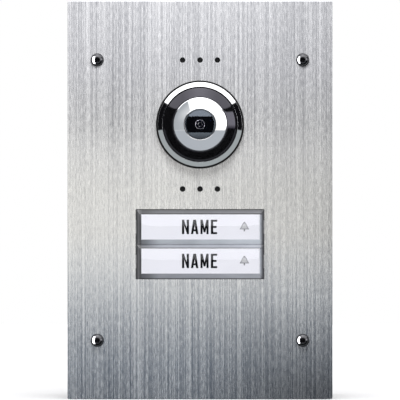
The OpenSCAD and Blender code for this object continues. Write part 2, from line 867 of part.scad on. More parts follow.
module rear_cover()
    color([0.1, 0.1, 0.11])
        difference() {
            union() {
                difference() {
                    slab(board_back, cover_back)
                        rounded_rect(chassis_w, chassis_h, 3);
                    slab(board_back - over, cover_back - cover_t)
                        rounded_rect(chassis_w - 2 * cover_t, chassis_h - 2 * cover_t, 1);
                }
                for (x = [-post_x, post_x], z = post_z)
                    rod(3.3, board_back, cover_back - cover_t + 0.2, x, z);
            }
            for (x = [-post_x, post_x], z = post_z) {
                rod(1.4, board_back - over, cover_back + over, x, z);
                rod(2.7, cover_back - 1.5, cover_back + over, x, z);
            }
            block(terminal_ways * terminal_pitch + 2, 12, cover_back - cover_t - over, cover_back + over,
                  0, terminal_z);
            rod(3.2, cover_back - cover_t - over, cover_back + over, trimmer_x, trimmer_z);
            for (i = [0:6])
                block(1.6, 18, cover_back - cover_t - over, cover_back + over, 8 + 4 * i, 40);
        }

module cover_screws()
    color([0.7, 0.7, 0.7])
        for (x = [-post_x, post_x], z = post_z)
            difference() {
                union() {
                    rod(2.4, cover_back - 1.5, cover_back - 0.1, x, z);
                    rod(1.15, 8, cover_back - 1.4, x, z);
                }
                for (w = [[0.6, 3], [3, 0.6]])
                    block(w[0], w[1], cover_back - 0.8, cover_back + over, x, z);
            }

// ---- what is drawn ----

front_plate();
wall_seal();
weld_studs();
stud_nuts();
plate_screws();
screw_washers();
flush_box();
boss_inserts();
cable_grommet();
camera_gasket();
camera_bezel();
ir_cover_ring();
lens_bezel();
camera_window();
lens_barrel();
lens_glass();
lens_holder();
image_sensor();
camera_board();
camera_board_screws();
ir_led_board();
ir_leds();
camera_nut();
camera_housing();
camera_flex();
chassis();
chassis_seal();
speaker_membrane();
speaker_frame();
speaker_cone();
speaker_magnet();
mic_membrane();
mic_boot();
microphone();
audio_leads();
button_tray();
tray_screws();
switch_board();
switch_bodies();
label_leds();
upper_cap();
upper_label();
upper_carrier();
upper_plunger();
upper_springs();
lower_cap();
lower_label();
lower_carrier();
lower_plunger();
lower_springs();
main_board();
board_chips();
board_capacitors();
door_relay();
terminal_block();
terminal_screws();
trimmer_body();
trimmer_rotor();
rear_cover();
cover_screws();
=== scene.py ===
"""Looks of the door intercom panel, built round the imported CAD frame.

Metres, with X to the right, Z up and Y into the wall; the front faces -Y. Profiles and shapes are
written in millimetres and turned into metres with MM.
"""

import math

import bmesh
import bpy
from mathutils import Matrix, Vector


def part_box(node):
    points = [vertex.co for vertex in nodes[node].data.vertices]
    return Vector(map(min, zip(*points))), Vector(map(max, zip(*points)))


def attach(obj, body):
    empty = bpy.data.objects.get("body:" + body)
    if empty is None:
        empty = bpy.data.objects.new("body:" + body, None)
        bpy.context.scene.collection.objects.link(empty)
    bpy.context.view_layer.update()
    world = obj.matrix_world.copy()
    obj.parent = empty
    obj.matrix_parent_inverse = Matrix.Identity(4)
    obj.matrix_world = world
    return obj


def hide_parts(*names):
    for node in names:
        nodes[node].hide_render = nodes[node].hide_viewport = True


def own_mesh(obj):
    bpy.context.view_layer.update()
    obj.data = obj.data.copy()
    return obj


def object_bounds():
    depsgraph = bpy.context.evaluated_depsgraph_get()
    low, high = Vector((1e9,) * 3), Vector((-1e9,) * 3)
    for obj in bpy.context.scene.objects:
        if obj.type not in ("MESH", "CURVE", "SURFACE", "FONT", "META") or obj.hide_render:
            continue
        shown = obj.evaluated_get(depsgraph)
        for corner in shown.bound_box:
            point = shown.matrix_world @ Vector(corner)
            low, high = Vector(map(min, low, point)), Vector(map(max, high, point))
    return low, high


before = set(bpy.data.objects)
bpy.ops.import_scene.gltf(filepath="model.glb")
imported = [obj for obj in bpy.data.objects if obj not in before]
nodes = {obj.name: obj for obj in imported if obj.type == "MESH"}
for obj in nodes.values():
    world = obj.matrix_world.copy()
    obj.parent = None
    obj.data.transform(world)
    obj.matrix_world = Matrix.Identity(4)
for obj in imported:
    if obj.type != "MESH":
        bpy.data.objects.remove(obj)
cad_low, cad_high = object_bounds()
scene = bpy.context.scene
MM = 0.001


def middle(node):
    low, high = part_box(node)
    return (low + high) / 2


# ---------------------------------------------------------------- materials


class Nodes:
    """A short way to build one material's or world's node tree."""

    def __init__(self, tree):
        self.tree = tree

    def add(self, kind, **settings):
        n = self.tree.nodes.new(kind)
        for key, value in settings.items():
            setattr(n, key, value)
        return n

    def put(self, socket, value):
        if isinstance(value, bpy.types.NodeSocket):
            self.tree.links.new(value, socket)
        else:
            socket.default_value = value

    def math(self, operation, a, b=0.0):
        n = self.add("ShaderNodeMath", operation=operation)
        self.put(n.inputs[0], a)
        self.put(n.inputs[1], b)
        return n.outputs[0]

    def times(self, first, *others):
        for other in others:
            first = self.math("MULTIPLY", first, other)
        return first

    def weighted(self, first, *others):
        """The sum of (value, weight) pairs."""
        total = self.times(*first)
        for other in others:
            total = self.math("ADD", total, self.times(*other))
        return total

    def scaled(self, colour, factor):
        n = self.add("ShaderNodeVectorMath", operation="SCALE")
        self.put(n.inputs[0], colour)
        self.put(n.inputs["Scale"], factor)
        return n.outputs[0]

    def tinted(self, colour, tint):
        n = self.add("ShaderNodeVectorMath", operation="MULTIPLY")
        self.put(n.inputs[0], colour)
        self.put(n.inputs[1], tint)
        return n.outputs[0]

    def remap(self, value, low, high, to_low=0.0, to_high=1.0, smooth=False):
        n = self.add("ShaderNodeMapRange", clamp=True)
        if smooth:
            n.interpolation_type = "SMOOTHSTEP"
        for i, v in enumerate((value, low, high, to_low, to_high)):
            self.put(n.inputs[i], v)
        return n.outputs[0]

    def coords(self, stretch=(1, 1, 1)):
        c = self.add("ShaderNodeTexCoord")
        m = self.add("ShaderNodeMapping")
        self.tree.links.new(c.outputs["Object"], m.inputs["Vector"])
        m.inputs["Scale"].default_value = stretch
        return m.outputs[0]

    def place(self):
        """The object's own X, Y and Z."""
        n = self.add("ShaderNodeSeparateXYZ")
        self.put(n.inputs[0], self.coords())
        return n.outputs

    def cells(self, scale, **settings):
        n = self.add("ShaderNodeTexVoronoi", feature="F1", **settings)
        self.put(n.inputs["Vector"], self.coords())
        n.inputs["Scale"].default_value = scale
        return n.outputs["Distance"]

    def noise(self, scale, detail=3.0, roughness=0.5, stretch=(1, 1, 1)):
        n = self.add("ShaderNodeTexNoise")
        self.put(n.inputs["Vector"], self.coords(stretch))
        n.inputs["Scale"].default_value = scale
        n.inputs["Detail"].default_value = detail
        n.inputs["Roughness"].default_value = roughness
        return n.outputs[0]

    def mix(self, factor, a, b):
        n = self.add("ShaderNodeMix", data_type="RGBA")
        self.put(n.inputs[0], factor)
        self.put(n.inputs[6], a)
        self.put(n.inputs[7], b)
        return n.outputs[2]

    def bump(self, height, strength, distance):
        n = self.add("ShaderNodeBump")
        n.inputs["Strength"].default_value = strength
        n.inputs["Distance"].default_value = distance
        self.put(n.inputs["Height"], height)
        return n.outputs[0]


def start(name):
    """An empty Principled material: (material, node helper, shader)."""
    material = bpy.data.materials.new(name)
    material.use_nodes = True
    nt = Nodes(material.node_tree)
    return material, nt, material.node_tree.nodes["Principled BSDF"]


def fill(nt, shader, colour, rough, normal, **values):
    """Fills a Principled shader's sockets; in their names _ stands for a space."""
    for key, value in dict(values, Base_Color=colour, Roughness=rough, Normal=normal).items():
        nt.put(shader.inputs[key.replace("_", " ")], value)


def rgba(colour, k=1.0):
    return tuple(min(1.0, c * k) for c in colour[:3]) + (1.0,)


def surface(name, colour, rough, metallic=0.0, patch=0.1, rough_spread=0.08, grain=0.0004,
            bump=0.12, depth=0.00003, stretch=(1, 1, 1), coat=0.0, specular=0.5, ior=1.5,
            tint=(1, 1, 1, 1)):
    """A moulded, painted or metal surface: patchy colour, uneven roughness and a fine grain."""
    material, nt, shader = start(name)
    broad = nt.noise(90, 4, 0.55, stretch)
    fine = nt.noise(1 / grain, 3, 0.6, stretch)
    spread = nt.remap(nt.weighted((broad, 0.7), (fine, 0.3)), 0.3, 0.7)
    values = {"Metallic": metallic, "Specular_IOR_Level": specular, "IOR": ior, "Specular_Tint": tint}
    if coat:
        values.update(Coat_Weight=coat, Coat_Roughness=0.05)
    fill(nt, shader, nt.mix(spread, rgba(colour, 1 - patch), rgba(colour, 1 + patch)),
         nt.remap(fine, 0.3, 0.7, max(0.02, rough - rough_spread), rough + rough_spread),
         nt.bump(fine, bump, depth), **values)
    return material


def brushed_plate():
    """Stainless sheet with a vertical grain of fine streaks; painted shade and a painted cool reflection make
    it darker and cooler below, a painted reflection tint runs from warm to bluish up the sheet, and painted
    shade darkens the lower right.
    """
    material, nt, shader = start("brushed_plate")
    wide = nt.noise(1, 2, 0.5, (620, 620, 3))
    streaks = nt.noise(1, 2, 0.6, (3700, 3700, 8))
    hairs = nt.noise(1, 2, 0.6, (4600, 4600, 330))
    cloud = nt.noise(14, 2, 0.5)
    mixed = nt.weighted((streaks, 0.42), (hairs, 0.40), (wide, 0.18))
    tone = nt.remap(mixed, 0.41, 0.59)
    x, _, z = nt.place()
    # painted shade and painted cool reflection: lower rises towards the bottom, where the sheet mixes into the
    # darker, bluer tone
    lower = nt.remap(z, -0.015, -0.075)
    upper = nt.remap(z, 0.005, 0.06)
    neutral = nt.mix(tone, (0.30, 0.305, 0.315, 1), (0.635, 0.635, 0.63, 1))
    shaded_cool_tone = nt.mix(tone, (0.175, 0.22, 0.285, 1), (0.665, 0.70, 0.735, 1))
    # painted reflection tint: warm across the middle, bluish towards the top, plain where the lower tone takes
    # over
    tint = nt.mix(upper, (1.0, 0.995, 0.965, 1), (0.985, 0.985, 1.02, 1))
    tint = nt.mix(lower, tint, (1.0, 1.0, 1.0, 1))
    # painted shade: the colour is scaled darker towards the lower right corner
    corner = nt.times(nt.remap(x, -0.015, 0.055, 0.1, 1.0, smooth=True), nt.remap(z, -0.045, -0.085, 0.0, 0.62))
    colour = nt.scaled(nt.tinted(nt.mix(lower, neutral, shaded_cool_tone), tint), nt.math("SUBTRACT", 1.0, corner))
    fill(nt, shader, nt.mix(nt.remap(cloud, 0.3, 0.7, 0.0, 0.12), colour, (0.43, 0.44, 0.47, 1)),
         nt.remap(mixed, 0.40, 0.60, 0.11, 0.31), nt.bump(mixed, 0.3, 0.00003),
         Metallic=0.86, Anisotropic=0.9)
    return material


def mirror_chrome(name, colour=(0.93, 0.935, 0.94), rough=0.035):
    """Polished plating with faint hairline wiping marks."""
    material, nt, shader = start(name)
    wipes = nt.noise(700, 4, 0.6, (1, 1, 3))
    haze = nt.noise(120, 3, 0.5)
    fill(nt, shader, nt.mix(haze, rgba(colour, 0.96), rgba(colour, 1.02)),
         nt.remap(wipes, 0.3, 0.75, rough * 0.6, rough * 1.7), nt.bump(haze, 0.02, 0.00002), Metallic=1.0)
    return material


def see_through(name, tints, cloud, ior=None, gloss_tint=(1, 1, 1, 1), wipes=(600, 3), rough=(0.02, 0.05)):
    """Clear plastic or glass that tints what lies behind it; with an ior its front also reflects."""
    material, nt, shader = start(name)
    material.node_tree.nodes.remove(shader)
    clear = nt.add("ShaderNodeBsdfTransparent")
    nt.put(clear.inputs["Color"], nt.mix(nt.noise(*cloud), *tints))
    seen = clear.outputs[0]
    if ior:
        fresnel = nt.add("ShaderNodeFresnel")
        fresnel.inputs["IOR"].default_value = ior
        gloss = nt.add("ShaderNodeBsdfGlossy")
        gloss.inputs["Color"].default_value = gloss_tint
        nt.put(gloss.inputs["Roughness"], nt.remap(nt.noise(*wipes), 0.3, 0.7, *rough))
        mix = nt.add("ShaderNodeMixShader")
        for i, part in enumerate((fresnel.outputs[0], seen, gloss.outputs[0])):
            nt.put(mix.inputs[i], part)
        seen = mix.outputs[0]
    nt.put(material.node_tree.nodes["Material Output"].inputs["Surface"], seen)
    return material


def painted_cap_edge():
    """The covers' thick bevelled margins: painted reflections as greys in place of the depth of clear plastic,
    painted shade at the ends and tops, painted shadow lines and a painted glint.
    """
    material, nt, shader = start("painted_cap_edge")
    x, _, z = nt.place()
    low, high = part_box("upper_cap")
    second_low, second_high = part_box("lower_cap")
    cloudy = nt.noise(260, 4, 0.6, (0.35, 1, 1))
    margin, past, hard = 0.0021, 0.001, 0.00004

    def between(start_z, end_z, soft=0.0001):
        return nt.times(nt.remap(z, start_z - soft, start_z + soft),
                        nt.remap(z, end_z - soft, end_z + soft, 1.0, 0.0))

    # painted shade: the upper cover's head margin darkens towards its top edge
    top = nt.mix(nt.remap(z, high.z - margin, high.z), (0.150, 0.154, 0.17, 1), (0.055, 0.057, 0.062, 1))
    body = (0.30, 0.32, 0.355, 1)
    # painted reflections and painted shade from the upper cover's head to the lower one's foot, then painted
    # shadow lines along the windows' heads
    for mask, colour in (
            (between(high.z - margin, high.z + past), top),
            (between(low.z - past, low.z + margin), (0.37, 0.395, 0.43, 1)),
            (between(second_high.z - margin, low.z - 0.00007), (0.265, 0.28, 0.315, 1)),
            (between(second_low.z - past, second_low.z + 0.0025), (0.255, 0.265, 0.29, 1)),
            (between(second_low.z - past, second_low.z + 0.0003), (0.10, 0.10, 0.105, 1)),
            (between(high.z - 0.00215, high.z - 0.00158, hard), (0.02, 0.02, 0.024, 1)),
            (between(second_high.z - 0.00185, second_high.z - 0.0014, hard), (0.10, 0.105, 0.12, 1))):
        body = nt.mix(mask, body, colour)
    # painted glint: a light band near the left end, inside a painted dark reflection of the end
    painted_glint = nt.times(nt.remap(x, low.x + 0.0007, low.x + 0.0010),
                      nt.remap(x, low.x + 0.0013, low.x + 0.0016, 1.0, 0.0))
    painted_end_reflection = nt.mix(painted_glint, (0.19, 0.192, 0.20, 1), (0.33, 0.33, 0.345, 1))
    body = nt.mix(nt.remap(x, low.x + 0.0022, low.x + 0.0026, smooth=True), painted_end_reflection, body)
    # painted shade: the right end darkens to near black
    body = nt.mix(nt.remap(x, high.x - 0.0021, high.x - 0.0004, smooth=True), body, (0.035, 0.036, 0.04, 1))
    # painted light: the margins are darker towards the left end and brighter towards the right
    fade = nt.times(nt.remap(x, low.x + 0.0025, low.x + 0.012, 0.42, 1.0, smooth=True),
                    nt.remap(x, -0.004, high.x - 0.004, 1.0, 1.28))
    fill(nt, shader, nt.scaled(body, nt.times(nt.remap(cloudy, 0.3, 0.7, 0.9, 1.1), fade)),
         nt.remap(cloudy, 0.3, 0.7, 0.08, 0.16), nt.bump(cloudy, 0.05, 0.00002))
    return material


def film(name, colour, rough=0.5, specular=0.5):
    """Printed label film with a faint fibre."""
    material, nt, shader = start(name)
    fibre = nt.noise(2600, 4, 0.6, (1, 1, 1.6))
    cloud = nt.noise(45, 3, 0.5)
    spread = nt.remap(nt.weighted((fibre, 0.3), (cloud, 0.7)), 0.35, 0.65)
    fill(nt, shader, nt.mix(spread, rgba(colour, 0.965), rgba(colour)),
         nt.remap(fibre, 0.3, 0.7, rough - 0.06, rough + 0.08), nt.bump(fibre, 0.05, 0.00001),
         Specular_IOR_Level=specular)
    return material


def circuit_board():
    """Green solder mask over tracks and pads, with a slight weave."""
    material, nt, shader = start("solder_mask")
    tracks = nt.remap(nt.cells(380, distance="CHEBYCHEV"), 0.38, 0.46)
    weave = nt.noise(2200, 2, 0.5)
    green = nt.mix(weave, (0.008, 0.085, 0.032, 1), (0.014, 0.13, 0.05, 1))
    fill(nt, shader, nt.mix(tracks, green, (0.03, 0.21, 0.09, 1)),
         nt.remap(weave, 0.3, 0.7, 0.28, 0.42), nt.bump(tracks, 0.3, 0.00003))
    return material


def foam_skin():
    """Closed-cell foam: small cells on a dark matt skin."""
    material, nt, shader = start("foam_skin")
    height = nt.remap(nt.cells(1700), 0.0, 0.6)
    fill(nt, shader, nt.mix(height, (0.018, 0.018, 0.02, 1), (0.075, 0.075, 0.08, 1)),
         nt.remap(height, 0, 1, 0.75, 0.95), nt.bump(height, 0.5, 0.0001))
    return material


def acoustic_mesh():
    """Woven dark cloth behind the sound holes."""
    material, nt, shader = start("acoustic_mesh")
    threads = []
    for direction in ("X", "Z"):
        wave = nt.add("ShaderNodeTexWave", wave_type="BANDS", bands_direction=direction)
        nt.put(wave.inputs["Vector"], nt.coords())
        wave.inputs["Scale"].default_value = 900
        wave.inputs["Distortion"].default_value = 0.6
        threads.append(wave.outputs["Fac"])
    height = nt.math("MAXIMUM", *threads)
    fill(nt, shader, nt.mix(height, (0.002, 0.002, 0.002, 1), (0.02, 0.02, 0.021, 1)),
         nt.remap(height, 0, 1, 0.9, 0.65), nt.bump(height, 0.6, 0.00005))
    return material


PLATE = brushed_plate()
CHROME = mirror_chrome("ring_chrome")
# painted shade: the screw heads' chrome gets a near black base, so they mirror their surroundings darkly
SHADED_SCREW_CHROME = mirror_chrome("screw_chrome_shaded", (0.105, 0.105, 0.11), 0.10)
CLEAR = see_through("cap_clear", ((0.975, 0.98, 0.99, 1), (0.99, 0.99, 0.995, 1)), (60, 2), 1.49)
PAINTED_EDGE = painted_cap_edge()
INSIDE = see_through("cap_inside", ((0.985, 0.99, 0.995, 1), (0.99, 0.995, 1, 1)), (60, 2))
LABEL = film("label_white", (0.735, 0.732, 0.772), specular=0.2)
INK = film("print_black", (0.004, 0.004, 0.005), 0.5, specular=0.08)
INK_GREY = film("print_grey", (0.22, 0.22, 0.235), 0.5, specular=0.1)
INK_PALE = film("print_pale", (0.50, 0.50, 0.51), 0.5, specular=0.1)
GLASS = see_through("window_smoked", ((0.45, 0.45, 0.47, 1), (0.49, 0.49, 0.51, 1)), (160, 3), 2.08,
                    (0.76, 0.87, 1.0, 1), (900, 2), (0.015, 0.03))
BOARD = circuit_board()
FOAM = foam_skin()
MESH = acoustic_mesh()
RUBBER = surface("rubber_black", (0.006, 0.006, 0.006), 0.6, patch=0.25, grain=0.0002, bump=0.15, specular=0.15)
GLOSS = surface("gloss_black", (0.004, 0.004, 0.0045), 0.05, patch=0.2, rough_spread=0.02, bump=0.02,
               ior=1.66, tint=(0.90, 0.87, 1.0, 1))
LENS_BLACK = surface("lens_black", (0.005, 0.005, 0.0055), 0.4, patch=0.2, specular=0.2)
RIM = surface("lens_rim", (0.82, 0.81, 0.80), 0.3, 1.0, patch=0.1)
LENS_COAT = surface("lens_coating", (0.05, 0.055, 0.12), 0.04, rough_spread=0.015, coat=1.0, bump=0.01)
SENSOR = surface("sensor_die", (0.05, 0.04, 0.09), 0.12, rough_spread=0.04, coat=0.6)
PLASTIC = surface("moulded_black", (0.022, 0.022, 0.024), 0.48, patch=0.2, grain=0.0003, bump=0.3)
BOX = surface("moulded_box", (0.045, 0.046, 0.05), 0.55, patch=0.16, grain=0.00035, bump=0.35, depth=0.00005)
STEEL = surface("plain_steel", (0.55, 0.55, 0.55), 0.28, 1.0, patch=0.12, stretch=(1, 6, 1))
ZINC = surface("zinc_plate", (0.63, 0.64, 0.66), 0.24, 1.0, patch=0.16)
SPRING = surface("spring_wire", (0.55, 0.55, 0.57), 0.22, 1.0, patch=0.1)
MAGNET = surface("nickel_plate", (0.58, 0.57, 0.55), 0.18, 1.0, patch=0.1)
BRASS = surface("turned_brass", (0.72, 0.50, 0.20), 0.26, 1.0, patch=0.15, stretch=(1, 8, 1))
CAN = surface("drawn_can", (0.68, 0.68, 0.70), 0.25, 1.0, patch=0.1)
LAMP_IR = surface("lamp_tinted", (0.09, 0.05, 0.12), 0.08, coat=0.8, rough_spread=0.03)
LAMP_WHITE = surface("lamp_white", (0.85, 0.80, 0.42), 0.3, coat=0.5)
FLEX = surface("flex_film", (0.55, 0.28, 0.05), 0.28, patch=0.18, stretch=(12, 1, 1), coat=0.3)
FRAME = surface("speaker_frame", (0.05, 0.05, 0.055), 0.42, patch=0.15)
CONE = surface("speaker_cone", (0.07, 0.07, 0.075), 0.38, patch=0.2, grain=0.0006, bump=0.4)
LEAD = surface("lead_sleeve", (0.42, 0.02, 0.02), 0.35, patch=0.12)
CARRIER = surface("carrier_white", (0.80, 0.80, 0.80), 0.4, patch=0.04)
PLUNGER = surface("plunger_brown", (0.13, 0.06, 0.03), 0.4)
SWITCH = surface("switch_grey", (0.08, 0.08, 0.085), 0.42)
CHIP = surface("chip_epoxy", (0.015, 0.015, 0.017), 0.5, patch=0.3, bump=0.35)
CAPACITOR = surface("capacitor_sleeve", (0.02, 0.03, 0.085), 0.2, coat=0.5)
RELAY = surface("relay_case", (0.62, 0.21, 0.02), 0.3, coat=0.3)
TERMINAL = surface("terminal_green", (0.015, 0.20, 0.055), 0.38)
TRIMMER = surface("trimmer_blue", (0.02, 0.07, 0.32), 0.32, coat=0.3)
ROTOR = surface("rotor_white", (0.72, 0.72, 0.66), 0.38, patch=0.05)

NODE_LOOKS = {
    "front_plate": PLATE, "wall_seal": FOAM, "weld_studs": STEEL, "stud_nuts": ZINC,
    "plate_screws": SHADED_SCREW_CHROME, "screw_washers": RUBBER, "flush_box": BOX, "boss_inserts": BRASS,
    "cable_grommet": RUBBER, "camera_gasket": RUBBER, "camera_bezel": CHROME, "ir_cover_ring": GLOSS,
    "lens_bezel": CHROME, "camera_window": GLASS, "lens_barrel": LENS_BLACK, "lens_glass": LENS_COAT,
    "lens_holder": LENS_BLACK, "image_sensor": SENSOR, "camera_board": BOARD,
    "camera_board_screws": ZINC, "ir_led_board": BOARD, "ir_leds": LAMP_IR, "camera_nut": ZINC,
    "camera_housing": PLASTIC, "camera_flex": FLEX, "chassis": PLASTIC, "chassis_seal": FOAM,
    "speaker_membrane": MESH, "speaker_frame": FRAME, "speaker_cone": CONE, "speaker_magnet": MAGNET,
    "mic_membrane": MESH, "mic_boot": RUBBER, "microphone": CAN, "audio_leads": LEAD,
    "button_tray": PLASTIC, "tray_screws": ZINC, "switch_board": BOARD, "switch_bodies": SWITCH,
    "label_leds": LAMP_WHITE, "upper_cap": PAINTED_EDGE, "upper_label": LABEL, "upper_carrier": CARRIER,
    "upper_plunger": PLUNGER, "upper_springs": SPRING, "lower_cap": PAINTED_EDGE, "lower_label": LABEL,
    "lower_carrier": CARRIER, "lower_plunger": PLUNGER, "lower_springs": SPRING, "main_board": BOARD,
    "board_chips": CHIP, "board_capacitors": CAPACITOR, "door_relay": RELAY,
    "terminal_block": TERMINAL, "terminal_screws": ZINC, "trimmer_body": TRIMMER,
    "trimmer_rotor": ROTOR, "rear_cover": PLASTIC, "cover_screws": ZINC,
}


def dress(obj, material):
    obj.data.materials.clear()
    obj.data.materials.append(material)


for name, look in NODE_LOOKS.items():
    dress(nodes[name], look)


SOFT_ANGLE, WELD_GAP = 38, 0.000002


def soften(node, width):
    """Rounds a CAD node's edges slightly, so that they catch the light."""
    obj = nodes[node]
    weld = obj.modifiers.new("weld", "WELD")
    weld.merge_threshold = WELD_GAP
    bevel = obj.modifiers.new("bevel", "BEVEL")
    bevel.width = width
    bevel.segments = 2
    bevel.limit_method = "ANGLE"
    bevel.angle_limit = math.radians(SOFT_ANGLE)
    bevel.use_clamp_overlap = True


# ---------------------------------------------------------------- mesh helpers


def link(name, data):
    """An object in the scene for a mesh, a light or a camera."""
    obj = bpy.data.objects.new(name, data)
    scene.collection.objects.link(obj)
    return obj


def clean(mesh):
    """Merges double points and turns the faces outwards."""
    bm = bmesh.new()
    bm.from_mesh(mesh)
    bmesh.ops.remove_doubles(bm, verts=bm.verts, dist=1e-7)
    bmesh.ops.recalc_face_normals(bm, faces=bm.faces)
    bm.to_mesh(mesh)
    bm.free()


def new_mesh(name, verts, faces, material, smooth_angle=32.0, weighted=True):
    mesh = bpy.data.meshes.new(name)
    mesh.from_pydata(verts, [], faces)
    clean(mesh)
    mesh.polygons.foreach_set("use_smooth", [True] * len(mesh.polygons))
    mesh.set_sharp_from_angle(angle=math.radians(smooth_angle))
    obj = link(name, mesh)
    mesh.materials.append(material)
    if weighted:
        fix = obj.modifiers.new("normals", "WEIGHTED_NORMAL")
        fix.keep_sharp = True
        fix.weight = 80
    return obj


def circle(x, z, r, count):
    turns = [2 * math.pi * k / count for k in range(count)]
    return [(x + r * math.cos(a), z + r * math.sin(a)) for a in turns]


def bands(pairs, count):
    """Quads that join each pair of closed rows of count points."""
    return [(i * count + k, i * count + (k + 1) % count, j * count + (k + 1) % count, j * count + k)
            for i, j in pairs for k in range(count)]


def rounded(points):
    """Profile points (r, y, fillet) with each corner rounded by its fillet."""
    out, steps = [], 4
    count = len(points)
    for i, (r, y, fillet) in enumerate(points):
        here = Vector((r, y))
        before = Vector(points[i - 1][:2]) - here
        after = Vector(points[(i + 1) % count][:2]) - here
        if fillet <= 0 or before.length < 1e-9 or after.length < 1e-9:
            out.append((r, y))
            continue
        cut = min(fillet, before.length * 0.45, after.length * 0.45)
        a, b = here + before.normalized() * cut, here + after.normalized() * cut
        for k in range(steps + 1):
            t = k / steps
            p = a * (1 - t) ** 2 + here * 2 * t * (1 - t) + b * t * t
            out.append((p.x, p.y))
    return out


def lathe(name, points, centre, material, segments=192, closed=True):
    """Turns a profile of (radius, depth, fillet) in millimetres about an axis along Y."""
    profile = rounded(points)
    rows = len(profile)
    verts = [(x, y * MM, z) for r, y in profile for x, z in circle(centre.x, centre.z, r * MM, segments)]
    pairs = [(i, (i + 1) % rows) for i in range(rows if closed else rows - 1)]
    on_axis = [r < 1e-6 for r, _ in profile]
    faces = bands([(i, j) for i, j in pairs if not (on_axis[i] and on_axis[j])], segments)
    return new_mesh(name, verts, faces, material)


def ride_for(obj, body, slot, *replaced):
    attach(obj, body)
    if replaced:
        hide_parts(*replaced)
    return obj


# ---------------------------------------------------------------- front plate

plate_low, plate_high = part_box("front_plate")
eye = middle("camera_bezel")
screw_low, screw_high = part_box("plate_screws")
washer_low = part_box("screw_washers")[0]
HEAD_R = 2.75
screw_x = (screw_high.x - screw_low.x) / 2 - HEAD_R * MM
screw_z = (screw_high.z - screw_low.z) / 2 - HEAD_R * MM
screw_places = [(sx * screw_x, sz * screw_z) for sx in (-1, 1) for sz in (-1, 1)]
SOUND_PITCH = 7.9
SOUND_OFFSET = 29.2
sound_places = [(x * SOUND_PITCH * MM, eye.z + s * SOUND_OFFSET * MM)
                for s in (-1, 1) for x in (-1, 0, 1)]


def outline(curve, points):
    spline = curve.splines.new("POLY")
    spline.points.add(len(points) - 1)
    for p, (x, z) in zip(spline.points, points):
        p.co = (x, z, 0, 1)
    spline.use_cyclic_u = True


def rounded_box(x0, z0, x1, z1, r):
    points, steps = [], 6
    corners = ((x1 - r, z1 - r), (x0 + r, z1 - r), (x0 + r, z0 + r), (x1 - r, z0 + r))
    for quarter, (cx, cz) in enumerate(corners):
        for k in range(steps + 1):
            a = math.radians(90 * quarter + 90 * k / steps)
            points.append((cx + r * math.cos(a), cz + r * math.sin(a)))
    return points


def flat_part(name, outlines, y_front, y_back, edge, material):
    """A sheet with holes and rounded edges, from outlines in X and Z."""
    curve = bpy.data.curves.new(name, "CURVE")
    curve.dimensions = "2D"
    curve.fill_mode = "BOTH"
    for points in outlines:
        outline(curve, points)
    curve.extrude = (y_back - y_front) / 2 - edge
    curve.bevel_depth = edge
    curve.bevel_resolution = 2
    curve.offset = -edge
    temp = link(name, curve)
    bpy.context.view_layer.update()
    mesh = bpy.data.meshes.new_from_object(temp.evaluated_get(bpy.context.evaluated_depsgraph_get()))
    bpy.data.objects.remove(temp)
    middle_y = (y_front + y_back) / 2
    for v in mesh.vertices:
        x, z, depth = v.co
        v.co = (x, middle_y - depth, z)
    clean(mesh)
    mesh.name = name
    mesh.set_sharp_from_angle(angle=math.radians(40))
    mesh.polygons.foreach_set("use_smooth", [abs(f.normal.y) < 0.999 for f in mesh.polygons])
    mesh.materials.clear()
    mesh.materials.append(material)
    return link(name, mesh)


cap_low, cap_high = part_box("upper_cap")
low_cap_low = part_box("lower_cap")[0]
CUTOUT = 0.22 * MM
PLATE_CORNER, CUTOUT_CORNER, PLATE_EDGE = 0.6, 0.4, 0.1
EYE_HOLE_R, SOUND_HOLE_R, SCREW_HOLE_R = 17.7, 1.25, 1.7
plate = flat_part(
    "plate_sheet",
    [rounded_box(plate_low.x, plate_low.z, plate_high.x, plate_high.z, PLATE_CORNER * MM),
     circle(eye.x, eye.z, EYE_HOLE_R * MM, 160),
     rounded_box(cap_low.x - CUTOUT, low_cap_low.z - CUTOUT, cap_high.x + CUTOUT, cap_high.z + CUTOUT,
                 CUTOUT_CORNER * MM)]
    + [circle(x, z, SOUND_HOLE_R * MM, 48) for x, z in sound_places]
    + [circle(x, z, SCREW_HOLE_R * MM, 32) for x, z in screw_places],
    plate_low.y, plate_high.y, PLATE_EDGE * MM, PLATE)
ride_for(plate, "panel", "plate_steel", "front_plate")

# ---------------------------------------------------------------- plate screws


def button_head(x, z, base):
    """Domed head with a hexagon socket and its shank: (vertices, faces)."""
    segments, rim, height, socket, dome_end = 96, HEAD_R, 1.6, 1.0, 63
    shape = [(0.0, 1.5, 0.0), (0.0, rim - 0.08, 0.0), (0.08, rim, 0.0), (0.16, rim, 0.0)]
    for a in range(6, dome_end + 1, 3):
        rise = 0.16 + (height - 0.16) * math.sin(math.radians(a)) / math.sin(math.radians(dome_end))
        shape.append((rise, rim * math.cos(math.radians(a)), 0.0))
    top_r = rim * math.cos(math.radians(dome_end))
    for t in (0.35, 0.7, 0.92):
        shape.append((height, top_r + (socket - top_r) * t, t))
    shape += [(height - 0.05, socket * 0.97, 1.0), (height - 1.1, socket * 0.95, 1.0),
              (height - 1.15, 0.02, 1.0)]
    shank = [(-12.5, 0.02), (-12.5, 1.0), (-12.0, 1.5), (-0.2, 1.5)]
    rows = [(h, r, 0.0) for h, r in shank] + shape
    verts = []
    for h, r, hexed in rows:
        for k in range(segments):
            a = 2 * math.pi * k / segments
            side = math.radians((math.degrees(a) + 360) % 60 - 30)
            hex_r = r / math.cos(side)
            rr = r * (1 - hexed) + hex_r * hexed
            verts.append((x + rr * MM * math.cos(a), base - h * MM, z + rr * MM * math.sin(a)))
    return verts, bands([(i, i + 1) for i in range(len(rows) - 1)], segments)


